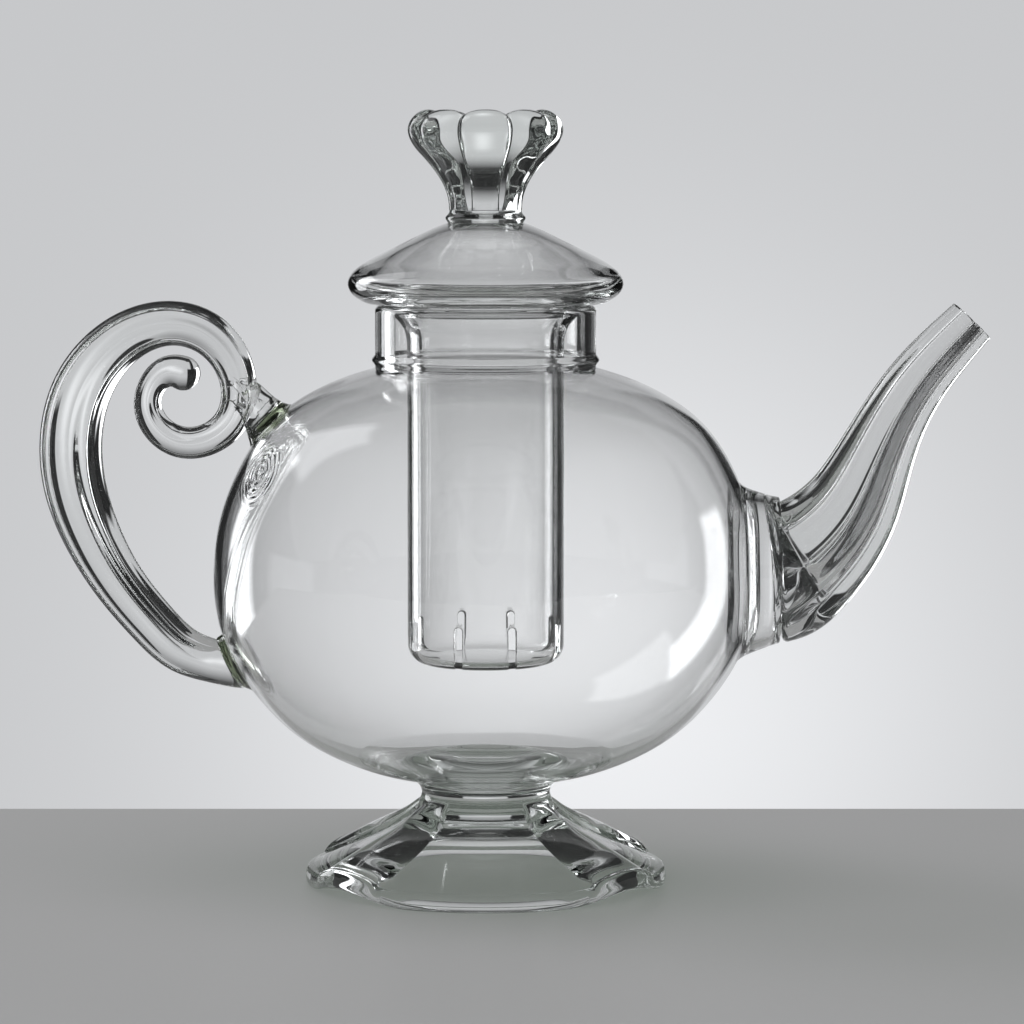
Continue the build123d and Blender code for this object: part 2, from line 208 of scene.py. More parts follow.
def swept(path, depths, power=3.0):
    """Rings round a path of (x, z, radius) in the pot's middle plane, fluted to the given depths."""
    angles = circle(ROD_SEGMENTS)
    along = np.gradient(path[:, :2], axis=0)
    along /= np.linalg.norm(along, axis=1)[:, None]
    radius = path[:, 2:3] * lobed(angles, depths[:, None], power)
    side = radius * np.cos(angles)
    rings = np.stack([path[:, :1] - along[:, 1:] * side, radius * np.sin(angles) + 0 * side,
                      path[:, 1:2] + along[:, :1] * side], axis=-1)
    return rings


# ---------------------------------------------------------------- camera, table and light

def camera():
    """The view: a long lens a little above the pot's shoulder, looking slightly down."""
    data = bpy.data.cameras.new("camera")
    data.lens = 150.7
    data.sensor_width = 36
    data.clip_start = 0.01
    view = bpy.data.objects.new("camera", data)
    view.location = (0.0074, -1.2, 0.2196)
    view.rotation_euler = (math.radians(90 - 5.46), 0, 0)
    bpy.context.scene.collection.objects.link(view)
    bpy.context.scene.camera = view


class Graph:
    """Short names for making shader nodes and joining them."""

    def __init__(self, tree):
        self.tree = tree

    def node(self, kind, inputs=None, **settings):
        made = self.tree.nodes.new(kind)
        for key, value in settings.items():
            setattr(made, key, value)
        for key, value in (inputs or {}).items():
            if isinstance(value, bpy.types.NodeSocket):
                self.tree.links.new(value, made.inputs[key])
            else:
                made.inputs[key].default_value = value
        return made

    def math(self, operation, *values):
        return self.node("ShaderNodeMath", dict(enumerate(values)), operation=operation).outputs[0]

    def ramp(self, value, low, high, to_low=0.0, to_high=1.0, shape="SMOOTHSTEP"):
        made = self.node("ShaderNodeMapRange", {"Value": value, "From Min": low, "From Max": high,
                                                "To Min": to_low, "To Max": to_high})
        made.interpolation_type = shape
        return made.outputs["Result"]


def heading(azimuth, elevation):
    """Direction that a viewer at that azimuth looks in: 0 looks along +Y and 90 along -X."""
    azimuth, elevation = math.radians(azimuth), math.radians(elevation)
    return Vector((-math.sin(azimuth) * math.cos(elevation), math.cos(azimuth) * math.cos(elevation),
                   math.sin(elevation)))


BACKDROP_TONE = 0.578
GLOW = 0.3                  # how much brighter the middle of each glow on the backdrop is
GLOW_TIGHTNESS = 243
# Lit screens that the glass reflects and refracts: azimuth, lowest and highest elevation in degrees.
SCREENS = ((0, -34, 90), (45, -90, -14), (90, -12, 4), (225, -30, -5))
SCREEN_HALF_WIDTH, SCREEN_EDGE = 12.5, 1.5
# A wider window low down behind the pot: azimuth, half width, lowest and highest elevation, soft edge.
LOW_WINDOW = (0, 20, -30, -14, 4)
# Softboxes that only the glass sees: azimuth, half width, lowest and highest elevation, strength.
SOFTBOXES = ((52, 8, -15, 28, 4.5), (60, 14, 30, 55, 1.5))
ROOM = 0.02


def sine(degrees):
    return math.sin(math.radians(degrees))


def studio():
    """A dark room with a pale, softly glowing backdrop, which the glass sees only as lit screens."""
    world = bpy.data.worlds.new("studio")
    bpy.context.scene.world = world
    world.use_nodes = True
    world.node_tree.nodes.clear()
    g = Graph(world.node_tree)
    ray = g.node("ShaderNodeTexCoord").outputs["Generated"]
    x, y, z = g.node("ShaderNodeSeparateXYZ", {0: ray}).outputs
    squared = g.math("ADD", g.math("MULTIPLY", x, x), g.math("MULTIPLY", y, y))
    flat = g.math("MAXIMUM", g.math("SQRT", squared), 1e-4)

    def facing(direction):
        dot = g.node("ShaderNodeVectorMath", {0: ray, 1: direction}, operation="DOT_PRODUCT")
        return dot.outputs["Value"]

    def window(azimuth, half_width, low, high, soft):
        """One inside a range of azimuth and elevation, fading to zero over its soft edge."""
        along = g.math("DIVIDE", facing(heading(azimuth, 0)), flat)
        wide = g.ramp(along, math.cos(math.radians(half_width + soft)), math.cos(math.radians(half_width)))
        if low > -90:
            wide = g.math("MULTIPLY", wide, g.ramp(z, sine(low - soft), sine(low)))
        if high < 90:
            wide = g.math("MULTIPLY", wide, g.ramp(z, sine(high), sine(high + soft), 1.0, 0.0))
        return wide

    glow = 0.0
    seen = 0.0
    for azimuth, low, high in SCREENS:
        near = g.math("SUBTRACT", 1.0, facing(heading(azimuth - 1.3, -8)))
        glow = g.math("ADD", glow, g.math("EXPONENT", g.math("MULTIPLY", near, -GLOW_TIGHTNESS)))
        seen = g.math("MAXIMUM", seen, window(azimuth, SCREEN_HALF_WIDTH, low, high, SCREEN_EDGE))
    seen = g.math("MAXIMUM", seen, window(*LOW_WINDOW))
    backdrop = g.math("ADD", BACKDROP_TONE, g.math("MULTIPLY", glow, GLOW))
    fade = g.ramp(z, sine(4), sine(34), 1.0, 0.10, "LINEAR")
    seen = g.math("MULTIPLY", g.math("MULTIPLY", backdrop, seen), fade)
    for azimuth, half_width, low, high, strength in SOFTBOXES:
        box = window(azimuth, half_width, low, high, 4)
        seen = g.math("ADD", seen, g.math("MULTIPLY", box, strength))
    seen = g.math("MAXIMUM", seen, ROOM)
    is_camera = g.node("ShaderNodeLightPath").outputs["Is Camera Ray"]
    shown = g.node("ShaderNodeMix", {"Factor": is_camera, "A": seen, "B": backdrop}).outputs["Result"]
    background = g.node("ShaderNodeBackground", {"Color": (0.985, 0.997, 1.02, 1), "Strength": shown})
    g.node("ShaderNodeOutputWorld", {"Surface": background.outputs[0]})


def table():
    """A pale matt table top with a straight back edge; its colour holds painted shade, a little darker
    towards the back edge.
    """
    bpy.ops.mesh.primitive_cube_add(size=1)
    slab = bpy.context.object
    slab.name = "table"
    slab.scale = (2.4, 1.025, 0.6)
    slab.location = (0, -0.3875, -0.3)
    bpy.ops.object.transform_apply(location=True, rotation=True, scale=True)
    bevel = slab.modifiers.new("edge", "BEVEL")
    bevel.width = 0.0015
    bevel.segments = 3
    material = bpy.data.materials.new("matt_table")
    material.use_nodes = True
    g = Graph(material.node_tree)
    shader = material.node_tree.nodes["Principled BSDF"]
    spot = g.node("ShaderNodeTexCoord").outputs["Object"]
    grain = g.node("ShaderNodeTexNoise", {"Vector": spot, "Scale": 900.0, "Detail": 4.0}).outputs["Fac"]
    depth = g.node("ShaderNodeSeparateXYZ", {0: spot}).outputs["Y"]
    # Painted shade: the colour darkens slightly towards the table's back edge; fine random grain is added
    # on top.
    grain_and_shade_tone = g.math("ADD", g.ramp(depth, -0.35, 0.12, 0.50, 0.485), g.ramp(grain, 0.3, 0.7, -0.006, 0.006))
    colour = g.node("ShaderNodeCombineColor", {"Red": grain_and_shade_tone, "Green": grain_and_shade_tone, "Blue": grain_and_shade_tone}).outputs[0]
    g.tree.links.new(colour, shader.inputs["Base Color"])
    bump = g.node("ShaderNodeBump", {"Height": grain, "Strength": 0.04, "Distance": 0.0002}).outputs[0]
    g.tree.links.new(bump, shader.inputs["Normal"])
    g.tree.links.new(g.ramp(grain, 0.3, 0.7, 0.42, 0.48), shader.inputs["Roughness"])
    shader.inputs["Specular IOR Level"].default_value = 0.25
    slab.data.materials.append(material)


def lamps():
    """Two large soft lamps that light the table and stay out of the glass."""
    rig = (("overhead", (0.1, -0.3, 1.9), 1.8, 21.0), ("side", (-1.3, 0.5, 1.1), 1.0, 6.0))
    for name, spot, size, power in rig:
        data = bpy.data.lights.new(name, "AREA")
        data.size = size
        data.energy = power
        lamp = bpy.data.objects.new(name, data)
        lamp.location = spot
        lamp.rotation_euler = (Vector((0, 0, 0.05)) - lamp.location).to_track_quat("-Z", "Y").to_euler()
        lamp.visible_camera = False
        lamp.visible_glossy = False
        lamp.visible_transmission = False
        bpy.context.scene.collection.objects.link(lamp)


# ---------------------------------------------------------------- glass

RING_SPACING = 0.0019        # of the tooling rings, in metres
RING_WANDER = 0.006


def glass(name, wave=0.1, tint=(0.55, 0.80, 0.62), density=2.5, marks=()):
    """Polished borosilicate glass: slow hand-made waves and a tint that grows with depth.

    Each mark is a place where hot glass was worked, with faint rings round it: its centre, inner and
    outer radius in millimetres, and the height of the rings in metres.
    """
    material = bpy.data.materials.new(name)
    material.use_nodes = True
    g = Graph(material.node_tree)
    g.tree.nodes.clear()
    spot = g.node("ShaderNodeTexCoord").outputs["Object"]
    slow = g.node("ShaderNodeTexNoise", {"Vector": spot, "Scale": 38.0, "Detail": 1.0}).outputs["Fac"]
    cloud = g.node("ShaderNodeTexNoise", {"Vector": spot, "Scale": 60.0, "Detail": 3.0}).outputs["Fac"]
    haze = g.ramp(cloud, 0.52, 0.75, 0.0, 0.012)
    normal = g.node("ShaderNodeBump", {"Height": slow, "Strength": wave, "Distance": 0.001}).outputs[0]
    for centre, inner, outer, tall in marks:
        middle = tuple(value * MM for value in centre)
        away = g.node("ShaderNodeVectorMath", {0: spot, 1: middle}, operation="DISTANCE").outputs["Value"]
        bent = g.math("ADD", away, g.math("MULTIPLY", cloud, RING_WANDER))
        ripple = g.math("SINE", g.math("MULTIPLY", bent, 2 * math.pi / RING_SPACING))
        rising = g.ramp(away, (inner - 2) * MM, (inner + 1) * MM)
        falling = g.ramp(away, (inner + 2) * MM, outer * MM, 1.0, 0.0)
        height = g.math("MULTIPLY", ripple, g.math("MULTIPLY", rising, falling))
        normal = g.node("ShaderNodeBump", {"Height": height, "Strength": 1.0, "Distance": tall,
                                           "Normal": normal}).outputs[0]
    shader = g.node("ShaderNodeBsdfPrincipled", {"Base Color": (1, 1, 1, 1), "IOR": IOR, "Roughness": haze,
                                                 "Transmission Weight": 1.0, "Normal": normal})
    clear = g.node("ShaderNodeBsdfTransparent", {"Color": (0.93, 0.945, 0.93, 1)})
    shadow = g.node("ShaderNodeLightPath").outputs["Is Shadow Ray"]
    surface = g.node("ShaderNodeMixShader", {0: shadow, 1: shader.outputs[0], 2: clear.outputs[0]})
    depth = g.node("ShaderNodeVolumeAbsorption", {"Color": (*tint, 1), "Density": density})
    g.node("ShaderNodeOutputMaterial", {"Surface": surface.outputs[0], "Volume": depth.outputs[0]})
    return material


def place(piece, body, slot, material, *nodes):
    """Gives a finished piece its glass and its body, and hides the CAD nodes that it stands for."""
    piece.data.materials.clear()
    piece.data.materials.append(material)
    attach(piece, body)
    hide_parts(*nodes)


# ---------------------------------------------------------------- vessel

BOWL_RADIUS, _, BOWL_TOP = turned("bowl")
COLLAR_RADIUS, _, COLLAR_TOP = turned("neck_collar")
FOOT_RADIUS, _, FOOT_TOP = turned("foot")
BOWL_WALL = 2.2
COLLAR_WALL = 3.0
DISC_HEIGHT = 2.4           # thickness of the weld discs under the handle's two ends
CAP_SIZES = (0.05, 0.3, 0.6, 0.85)      # rings that close a flat end, as shares of its radius
STEM_RADIUS = 18.4
BOWL_MIDDLE = 100           # a height well above the bowl's floor and below its shoulder
SPOUT_HEIGHT = 88           # of the middle of the spout's socket
PAD_EDGE = 26               # radius where the pad inside the bowl's floor begins
RIM_LIFT = 2.7              # rise of the foot's rim under a ridge
RIM_LIFT_SWING = 27         # half the angle of that rise, in degrees
RIM_INNER = 49              # radius where the foot's outside turns down into its rim
NECK_RADIUS = COLLAR_RADIUS - COLLAR_WALL

bowl_skin = smooth(((STEM_RADIUS, FOOT_TOP), (18.1, 25.8), (19.0, 28.0), (22.6, 30.0), (30, 31.8),
                    (41, 35.6), (52.5, 42), (63, 51.8), (71, 63.6), (75.6, 76.2), (BOWL_RADIUS, 88),
                    (74.9, 102.6), (70, 116.2), (62, 128.8), (52.4, 136.6), (41.6, 142), (35.0, 144.3),
                    (COLLAR_RADIUS, 145.5), (NECK_RADIUS, BOWL_TOP)), start=(-0.5, 1), step=2.0)


def bowl_height(points):
    """How far points stand out from the bowl's outer skin, in millimetres."""
    flat = points.reshape(-1, 3)
    spots = np.stack([np.hypot(flat[:, 0], flat[:, 1]), flat[:, 2]], axis=1)
    first, span = bowl_skin[:-1], np.diff(bowl_skin, axis=0)
    gap = spots[:, None, :] - first
    share = np.clip((gap * span).sum(-1) / (span * span).sum(-1), 0, 1)
    away = gap - share[..., None] * span
    reach = np.linalg.norm(away, axis=-1)
    nearest = reach.argmin(axis=1)
    rows = np.arange(len(flat))
    cross = span[nearest, 1] * away[rows, nearest, 0] - span[nearest, 0] * away[rows, nearest, 1]
    return (np.sign(cross) * reach[rows, nearest]).reshape(points.shape[:-1])


def settle(points, direction, height, measure=bowl_height):
    """Moves points along a direction until they stand that high off a surface."""
    points = np.array(points, float)
    direction = np.array(direction, float)
    probe, longest = 0.05, 3
    for _ in range(12):
        miss = measure(points) - height
        slope = measure(points + probe * direction) - height - miss
        slope = np.where(np.abs(slope) < 1e-3, 1e-3, slope)
        points = points - np.clip(miss * probe / slope, -longest, longest)[..., None] * direction
    return points


RIDGES = np.radians((38, 142, 218, 322))
FLANK = 16                  # columns on each side of a ridge, and as many on to the middle of a panel


def foot_columns():
    """For each column: its ridge's angle, its way round, its step, and the angle to the panel's middle."""
    columns = []
    for ridge, following in zip(RIDGES, np.append(RIDGES[1:], RIDGES[0] + 2 * math.pi)):
        sector = (following - ridge) / 2
        for step in range(2 * FLANK):
            columns.append((ridge, 1, step, sector))
        for step in range(2 * FLANK, 0, -1):
            columns.append((following, -1, step, sector))
    return columns


def foot_rings():
    """Rings down the outside of the bell, round its rim and up inside it."""
    panel = smooth(((STEM_RADIUS, FOOT_TOP), (19.4, 21), (23, 17.5), (30, 13.6), (38, 9.9), (45, 6.8),
                    (RIM_INNER, 5.0)), start=(0.5, -1))
    ridge = smooth(((STEM_RADIUS, FOOT_TOP), (20.6, 23.2), (26, 19.8), (33, 16.4), (41, 12.6),
                    (RIM_INNER, 8.4)), start=(0.8, -1))
    steps = np.linspace(0, 1, 60)

    def even(curve):
        far = lengths(curve)
        return np.stack([np.interp(steps * far[-1], far, curve[:, k]) for k in (0, 1)], axis=1)

    columns = foot_columns()
    rings = []
    for low, high in zip(even(panel), even(ridge)):
        half_width = np.interp(low[0], (17, 20, 26, 33, 40, 49), (5.5, 6, 8, 10, 11.5, 13))
        half = math.asin(half_width / max(low[0], 18))
        ring = []
        for corner, way, step, sector in columns:
            swing = step / FLANK * half
            weight = (1 - min(step / FLANK, 1) ** 2) ** 0.62
            if step >= FLANK:
                swing = half + (step - FLANK) / FLANK * (sector - half)
            r, z = low * (1 - weight) + high * weight
            ring.append((r * math.cos(corner + way * swing), r * math.sin(corner + way * swing), z))
        rings.append(ring)
    return rings + rim_and_hollow(np.array(rings[-1]))


def rim_and_hollow(last):
    """Rings from the foot's edge round its rim, which lifts under each ridge, and up inside the bell."""
    outward = last[:, :2] / np.hypot(last[:, 0], last[:, 1])[:, None]
    angles = np.arctan2(last[:, 1], last[:, 0])
    swings = [np.abs((angles - ridge + math.pi) % (2 * math.pi) - math.pi) for ridge in RIDGES]
    share = np.clip(np.min(swings, axis=0) / math.radians(RIM_LIFT_SWING), 0, 1)
    lift = RIM_LIFT * (0.5 + 0.5 * np.cos(share * math.pi))
    rings = []
    for out, up in smooth(((0, 1.0), (0.9, 0.75), (1.0, 0.42), (0.85, 0.12), (0.45, 0.0)), step=0.12)[1:]:
        radius = RIM_INNER + (FOOT_RADIUS - RIM_INNER) * out
        rings.append(np.column_stack([outward * radius, lift + (last[:, 2] - lift) * up]))
    for radius, share in ((48.6, 1.0), (47.2, 1.0), (46.1, 1.0), (44.6, 0.9)):
        rings.append(np.column_stack([outward * radius, lift * share]))
    hollow = smooth(((44.2, 0.3), (43.6, 2), (41, 4.6), (36, 7.4), (30, 10.1), (24, 12.8), (18, 15),
                     (10, 16.5), (0.4, 16.8)), start=(-0.2, 1), end=(-1, 0), step=1.6)
    for radius, height in hollow:
        share = np.clip((radius - 36) / 8, 0, 1) * 0.8
        rings.append(np.column_stack([outward * radius, height + lift * share]))
    return rings


def vessel():
    """The blown bowl, its weld pad, the short stem and the pressed foot, fused into one piece."""
    foot = foot_rings()
    rings = foot[::-1]
    columns = np.array(foot[0])
    angles = np.arctan2(columns[:, 1], columns[:, 0])
    inside = offset(bowl_skin[bowl_skin[:, 1] > 33.0], BOWL_WALL)[::-1]
    below_neck = (inside[:, 0] > NECK_RADIUS) | (inside[:, 1] < BOWL_MIDDLE)
    inside = inside[(inside[:, 0] > PAD_EDGE) & below_neck]
    pad = smooth(((24.0, 33.3), (22.0, 33.4), (20.6, 34.1), (17.5, 35.2), (13.5, 35.3), (10.8, 34.8),
                  (6, 33.9), (0.3, 33.6)), start=(-1, -0.1), end=(-1, 0), step=1.2)
    for radius, height in joined(bowl_skin[1:], inside, pad):
        rings.append(level(radius, height, angles))
    piece = skin("glass_vessel", rings, sharp=50)
    drill = [facing_ring(x, radius, SPOUT_HEIGHT, 128) for x, radius in ((60, 22.8), (95, 14.5))]
    cut(piece, [skin("drill", drill)], sharp=50)
    return piece


def facing_ring(x, radius, height, count):
    """A ring of points that faces along X."""
    angles = circle(count)
    return np.stack([x + 0 * angles, radius * np.cos(angles), height + radius * np.sin(angles)], axis=-1)


def neck_collar():
    """A straight tube with a rounded lip, on the bowl's mouth."""
    seat = bowl_skin[(bowl_skin[:, 0] <= COLLAR_RADIUS + 0.01) & (bowl_skin[:, 1] > BOWL_MIDDLE)] - (0, LAP)
    lip = COLLAR_WALL / 2
    top = arc((COLLAR_RADIUS - lip, COLLAR_TOP - lip), lip, 180, 0, 13)
    side = [(COLLAR_RADIUS, z) for z in np.linspace(COLLAR_TOP - lip - 0.5, seat[0, 1] + 0.3, 12)]
    bore = [(NECK_RADIUS, z) for z in np.linspace(seat[-1, 1] + 0.3, COLLAR_TOP - lip - 0.5, 12)]
    return turn("glass_neck_collar", joined(top, side, seat, bore))


def collar_bead():
    """A flat bead round the collar's root."""
    radius, low, high = turned("collar_bead")
    back = COLLAR_RADIUS - LAP
    middle = (low + high) / 2
    bulge = smooth(((back, low - 0.2), (COLLAR_RADIUS + 0.3, low + 0.5), (radius, middle),
                    (COLLAR_RADIUS + 0.3, high - 0.5), (back, high + 0.2)), step=0.25)
    rear = [(back, z) for z in np.linspace(high, low, 8)]
    return turn("glass_collar_bead", joined(bulge, rear), sharp=60)


SOCKET_HEADING = (0.99, 0.139)
SOCKET_LENGTH = 10.0
SOCKET_BORE = 16.8
SPOUT_PATH = smooth(((81.8, 88.5, 20.5), (89.5, 92, 18.4), (95.8, 97.4, 16.3), (102.5, 106, 14.1),
                     (108.2, 117.6, 11.7), (113.2, 128.6, 10), (120, 140.2, 8.9), (127.6, 149.6, 8.1),
                     (136.1, 158.6, 7.2)), start=SOCKET_HEADING, step=0.5)


def spout():
    """A drawn, fluted tube with a thick wall; its bore opens in a scalloped shoulder at the socket."""
    length = lengths(SPOUT_PATH)
    outer = swept(SPOUT_PATH, 0.15 * np.clip(length / 10, 0, 1) ** 0.5)
    shoulder = np.clip(length / 6.5, 0, 1)
    bore_path = SPOUT_PATH.copy()
    narrow = 0.52 * SPOUT_PATH[:, 2] + 0.85
    bore_path[:, 2] = narrow + (SOCKET_BORE - narrow) * (1 - shoulder ** 1.6) ** 0.8
    bore = swept(bore_path, 0.2 * np.sin(shoulder * math.pi) + 0.03)
    reach = unit(SPOUT_PATH[-1, :2] - SPOUT_PATH[-2, :2])
    back = -1.6 * np.array([SOCKET_HEADING[0], 0, SOCKET_HEADING[1]])
    tip = []
    root = []
    for turn_by in np.linspace(0, math.pi, 9)[1:-1]:
        middle, swing = (outer[-1] + bore[-1]) / 2, (outer[-1] - bore[-1]) / 2
        forward = 0.25 * np.array([reach[0], 0, reach[1]]) * np.linalg.norm(swing, axis=1)[:, None]
        tip.append(middle + swing * math.cos(turn_by) + forward * math.sin(turn_by))
        middle, swing = (outer[0] + bore[0]) / 2, (outer[0] - bore[0]) / 2
        root.append(middle - swing * math.cos(turn_by) + back * math.sin(turn_by))
    return skin("glass_spout", [*outer, *tip, *bore[::-1], *root], loop=True, sharp=None)


def spout_root():
    """A plain clear socket, blown out of the bowl's side, under the spout's fluted end."""
    start = SPOUT_PATH[0]
    outer = smooth(((25.6, -LAP), (24.4, 0.55), (23.4, 1.8), (22.2, 4.6), (21.2, 7.4),
                    (20.6, SOCKET_LENGTH)), step=0.4)
    inner = smooth(((17.4, SOCKET_LENGTH), (18.8, 6.0), (19.7, 2.0), (20.1, -LAP)), step=0.4)
    rings = []
    for radius, height in joined(outer, inner):
        centre = np.interp(height, (0, SOCKET_LENGTH), (SPOUT_HEIGHT, start[1]))
        flat = facing_ring(70, radius, centre, 192)
        near = settle(flat, (1, 0, 0), min(height, 2.0)) + (max(height - 2.0, 0), 0, 0)
        straight = start[0] + 0.6 - SOCKET_LENGTH + height
        share = np.clip(height / SOCKET_LENGTH, 0, 1) ** 1.5
        near[:, 0] = near[:, 0] * (1 - share) + straight * share
        rings.append(near)
    return skin("glass_spout_root", rings, loop=True, sharp=50)


# Stations along the rod from the lower weld up round the C and into the scroll: x, z, radius.
HANDLE_PATH = smooth(((-72.2, 61.8, 6.9), (-77.5, 62.9, 6.4), (-84.6, 65.4, 6.6), (-94, 73.6, 7),
                      (-103.2, 85, 7.4), (-111, 99, 8.2), (-115.6, 113.2, 8.8), (-116.3, 126.4, 8.85),
                      (-113.4, 138.8, 8.5), (-107, 148.8, 7.8), (-98, 155.6, 7), (-88, 158, 6.4),
                      (-78.4, 155.4, 6.1), (-71.8, 148.6, 5.6), (-69.2, 139.4, 5.1), (-71.4, 130.8, 4.8),
                      (-78, 125.4, 4.6), (-86.2, 124.8, 4.5), (-92.4, 129, 4.2), (-94.8, 135.6, 3.9),
                      (-93.0, 141.4, 3.9), (-90.2, 144.0, 4.3), (-87.0, 144.6, 4.7), (-84.8, 144.0, 4.9)),
                     start=(-1, 0.12), step=0.7)


def rod_height(points):
    """How far points stand out from the handle's rod, in millimetres."""
    centres = np.stack([HANDLE_PATH[:, 0], 0 * HANDLE_PATH[:, 0], HANDLE_PATH[:, 1]], axis=1)
    away = np.linalg.norm(points[..., None, :] - centres, axis=-1) - HANDLE_PATH[:, 2]
    return away.min(axis=-1)


def handle():
    """The fluted rod, from the lower weld up round the C and into the scroll, with its rounded end."""
    length = lengths(HANDLE_PATH)
    left = 1 - length / length[-1]
    depth = 0.09 * np.clip(left / 0.3, 0, 1) ** 0.7 * np.clip((length - 3) / 12, 0, 1)
    rings = swept(HANDLE_PATH, depth, 4.0)
    foot = settle(rings[0], (1, 0, 0), DISC_HEIGHT - LAP)
    rings = rings + np.clip(1 - length / 9, 0, 1)[:, None, None] ** 2 * (foot - rings[0])
    base = []
    for size in CAP_SIZES:
        base.append(settle(foot.mean(0) * (1 - size) + foot * size, (1, 0, 0), DISC_HEIGHT - LAP))
    x, z, size = HANDLE_PATH[-1]
    reach = unit(HANDLE_PATH[-1, :2] - HANDLE_PATH[-2, :2])
    swing = np.radians(np.linspace(8, 89, 12))
    ball = np.stack([x + reach[0] * size * np.sin(swing), z + reach[1] * size * np.sin(swing),
                     size * np.cos(swing)], axis=1)
    return skin("glass_handle", [*base, *rings, *swept(ball, 0 * swing)], sharp=60)


def bar(name, first, last, radius):
    """A short round bar from the rod to a weld disc, flared at both ends."""
    first, last = np.array(first, float), np.array(last, float)
    reach = unit(last - first)
    direction = np.array((reach[0], 0, reach[1]))
    half_way = (first + last) / 2

    def on_rod(size):
        return settle(square_ring(half_way, reach, size), direction, -LAP, rod_height)

    def on_disc(size):
        return settle(square_ring(half_way, reach, size), direction, DISC_HEIGHT - LAP)

    waist, rod_end, disc_end = 0.93, 0.86, 1.04
    rings = [on_rod(radius * rod_end * size) for size in CAP_SIZES]
    for share in np.linspace(0, 1, 16):
        size = waist + (rod_end - waist) * (1 - share) ** 5 + (disc_end - waist) * share ** 5
        rings.append(on_rod(radius * size) * (1 - share) + on_disc(radius * size) * share)
    rings += [on_disc(radius * disc_end * size) for size in CAP_SIZES[::-1]]
    return skin(name, rings, sharp=50)


def weld(name, first, last, radius):
    """A disc of darker solder glass, pressed against the bowl's side."""
    reach = unit(np.array(last, float) - np.array(first, float))
    direction = np.array((reach[0], 0, reach[1]))
    profile = [(0.05, DISC_HEIGHT), (0.4, DISC_HEIGHT), (0.8, DISC_HEIGHT), (0.9, 2.25), (0.96, 1.9),
               (1.0, 1.4), (1.05, 0.8), (1.1, 0.35), (1.16, -LAP), (0.8, -LAP), (0.4, -LAP), (0.05, -LAP)]
    rings = []
    for size, height in profile:
        rings.append(settle(square_ring(last, reach, radius * size), direction, height))
    return skin(name, rings, sharp=60)


# ---------------------------------------------------------------- infuser

INFUSER_RADIUS, INFUSER_BORE = 22.0, 20.2
FLARE_LOW, FLARE_HIGH = 152, 161.4
MOUTH_RADIUS = 25.3         # inside the infuser's flange
SLOT_TOP = 74.5
SLOT_OFFSET = 7.4           # two slots in each quarter face
SLOT_HALF = 1.0


def infuser_tube():
    """A straight tube with a rounded, slotted bottom and a flared mouth."""
    _, low, _ = turned("infuser_tube")
    wall = INFUSER_RADIUS - INFUSER_BORE
    corner = 5.5
    inner_corner = corner - wall
    heights = np.linspace(low + corner, FLARE_LOW - 1, 60)
    side = [(INFUSER_RADIUS, z) for z in heights]
    flare = smooth(((INFUSER_RADIUS, FLARE_LOW), (22.9, 156.5), (27, FLARE_HIGH)), start=(0, 1), step=0.4)
    lip = [(27.0, FLARE_HIGH + LAP), (MOUTH_RADIUS, 161.9 + LAP)]
    mouth = smooth(((MOUTH_RADIUS, 161.9), (21.2, 157.2), (INFUSER_BORE, FLARE_LOW)), end=(0, -1), step=0.4)
    bore = [(INFUSER_BORE, z) for z in heights[::-1]]
    outside = arc((INFUSER_RADIUS - corner, low + corner), corner, -90, 0, 14)
    floor = [(r, low) for r in np.linspace(0, INFUSER_RADIUS - corner, 16)]
    inside = arc((INFUSER_BORE - inner_corner, low + corner), inner_corner, 0, -90, 10)
    floor_top = [(r, low + wall) for r in np.linspace(INFUSER_BORE - inner_corner, 0, 16)]
    outline = joined(floor, outside, side, flare, lip, mouth, bore, inside, floor_top)
    piece = turn("glass_infuser_tube", outline)
    cutters = []
    for quarter in range(4):
        for across in (-SLOT_OFFSET, SLOT_OFFSET):
            cutters.append(slot_cutter(quarter * math.pi / 2, across, low))
    cut(piece, cutters)
    return piece


def slot_cutter(angle, middle, low):
    """A blade that cuts one slot through the wall and into the floor, a little wider at the skin."""
    rings = []
    for radius, half in ((15.2, SLOT_HALF), (21.6, SLOT_HALF), (21.85, 1.15), (22.1, 1.5), (24.0, 3.4)):
        outline = [(-half, low - 3), (half, low - 3)]
        for swing in np.linspace(0, math.pi, 9):
            outline.append((half * math.cos(swing), SLOT_TOP - SLOT_HALF + half * math.sin(swing)))
        ring = []
        for across, height in outline:
            y = middle + across
            x = math.sqrt(radius ** 2 - y ** 2)
            ring.append((x * math.cos(angle) - y * math.sin(angle),
                         x * math.sin(angle) + y * math.cos(angle), height))
        rings.append(ring)
    return skin("blade", rings)


def infuser_flange():
    """A thick flange round the infuser's mouth, which rests on the collar."""
    radius, _, high = turned("infuser_flange")
    outside = smooth(((26.9, FLARE_HIGH), (28.6, 162.1), (29.2, 163.1)), start=(1, 0), step=0.3)
    edge = arc((radius - 1.4, high - 1.4), 1.4, -10, 90, 10)
    mouth = smooth(((26.4, high), (25.6, high - 0.5), (MOUTH_RADIUS, 164.7)), step=0.25)
    bore = [(MOUTH_RADIUS, z) for z in (*np.linspace(164.2, 162.1, 6), 161.9)]
    return turn("glass_infuser_flange", joined(outside, edge, mouth, bore))


# ---------------------------------------------------------------- lid

